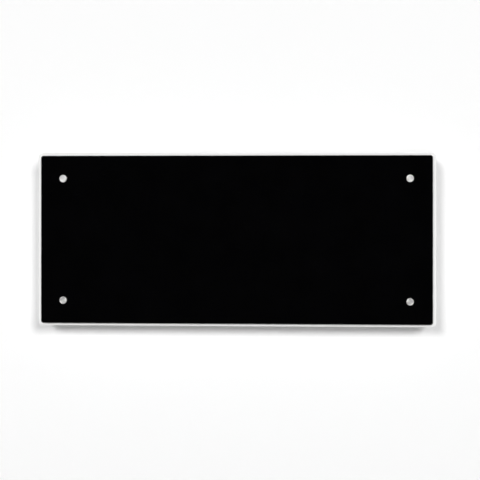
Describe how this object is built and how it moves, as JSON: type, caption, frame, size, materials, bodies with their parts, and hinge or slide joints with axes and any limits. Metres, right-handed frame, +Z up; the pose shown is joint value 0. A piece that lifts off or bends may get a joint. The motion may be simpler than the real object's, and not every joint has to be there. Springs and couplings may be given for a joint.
{
  "type": "infrared panel heater",
  "caption": "Wide wall-hung panel heater with a black glass front on round metal studs, a white steel casing and a wall bracket it tilts on.",
  "frame": {"origin": "middle of the wall bracket's back face, on the wall", "axes": "+X to the right seen from the front, +Y into the wall, +Z up; the glass faces -Y"},
  "size_m": [0.85, 0.0782, 0.37],
  "materials": {
    "black_glass": "back-painted black, polished",
    "satin_steel": "turned satin",
    "silicone": "matt",
    "zinc_steel": "zinc plated",
    "white_paint": "fine white powder coat",
    "mica": "layered mica sheet",
    "track_foil": "etched resistance foil",
    "insulation": "mineral fibre mat",
    "aluminium_sheet": "mill finish",
    "black_plastic": "fine texture",
    "dark_lens": "smoked, polished",
    "white_plastic": "satin",
    "circuit_board": "solder mask",
    "spring_steel": "drawn wire"
  },
  "bodies": {
    "bracket": {"wall_bracket": "white_paint", "latch_rivet_left": "zinc_steel", "latch_rivet_right": "zinc_steel", "latch_spring_left": "spring_steel", "latch_spring_right": "spring_steel"},
    "heater": {"glass_front": "black_glass", "stud_top_left": "satin_steel", "stud_top_right": "satin_steel", "stud_bottom_left": "satin_steel", "stud_bottom_right": "satin_steel", "room_sensor": "satin_steel", "stud_gasket_top_left": "silicone", "stud_gasket_top_right": "silicone", "stud_gasket_bottom_left": "silicone", "stud_gasket_bottom_right": "silicone", "glass_spacer_top_left": "silicone", "glass_spacer_top_right": "silicone", "glass_spacer_bottom_left": "silicone", "glass_spacer_bottom_right": "silicone", "wiring_loom": "silicone", "stud_nut_top_left": "zinc_steel", "stud_nut_top_right": "zinc_steel", "stud_nut_bottom_left": "zinc_steel", "stud_nut_bottom_right": "zinc_steel", "cover_screw_1": "zinc_steel", "cover_screw_2": "zinc_steel", "cover_screw_3": "zinc_steel", "cover_screw_4": "zinc_steel", "cover_screw_5": "zinc_steel", "cover_screw_6": "zinc_steel", "cover_screw_7": "zinc_steel", "cover_screw_8": "zinc_steel", "radio_module": "zinc_steel", "casing": "white_paint", "rear_cover": "white_paint", "element_sheet": "mica", "heating_track": "track_foil", "insulation_mat": "insulation", "insulation_tray": "aluminium_sheet", "thermal_cutout": "black_plastic", "control_bezel": "black_plastic", "control_box": "black_plastic", "display_module": "black_plastic", "switch_housing": "black_plastic", "relay": "black_plastic", "cord_gland": "black_plastic", "gland_nut": "black_plastic", "control_lead": "black_plastic", "display_lens": "dark_lens", "board_carrier": "white_plastic", "terminal_block": "white_plastic", "sensor_holder": "white_plastic", "control_board": "circuit_board", "power_board": "circuit_board"},
    "latch_left": {"latch_left": "black_plastic"},
    "latch_right": {"latch_right": "black_plastic"},
    "button_power": {"button_power": "white_plastic"},
    "button_minus": {"button_minus": "white_plastic"},
    "button_plus": {"button_plus": "white_plastic"},
    "rocker": {"switch_rocker": "black_plastic"}
  },
  "joints": [
    {"name": "heater_tilt", "type": "hinge", "parent": "bracket", "child": "heater", "pos_m": [0, -0.0275, -0.14], "axis": [1, 0, 0], "range_deg": [0, 25]},
    {"name": "latch_left_press", "type": "slide", "parent": "bracket", "child": "latch_left", "axis": [0, 0, -1], "range_m": [0, 0.007], "stiffness_N_per_m": 300, "springref_m": -0.008, "deforming": ["latch_spring_left"]},
    {"name": "latch_right_press", "type": "slide", "parent": "bracket", "child": "latch_right", "axis": [0, 0, -1], "range_m": [0, 0.007], "stiffness_N_per_m": 300, "springref_m": -0.008, "deforming": ["latch_spring_right"]},
    {"name": "button_power_press", "type": "slide", "parent": "heater", "child": "button_power", "axis": [0, 0, -1], "range_m": [0, 0.0008], "stiffness_N_per_m": 500, "springref_m": -0.002},
    {"name": "button_minus_press", "type": "slide", "parent": "heater", "child": "button_minus", "axis": [0, 0, -1], "range_m": [0, 0.0008], "stiffness_N_per_m": 500, "springref_m": -0.002},
    {"name": "button_plus_press", "type": "slide", "parent": "heater", "child": "button_plus", "axis": [0, 0, -1], "range_m": [0, 0.0008], "stiffness_N_per_m": 500, "springref_m": -0.002},
    {"name": "rocker_flip", "type": "hinge", "parent": "heater", "child": "rocker", "pos_m": [0.421, -0.045, 0.074], "axis": [0, -1, 0], "range_deg": [0, 18]}
  ]
}
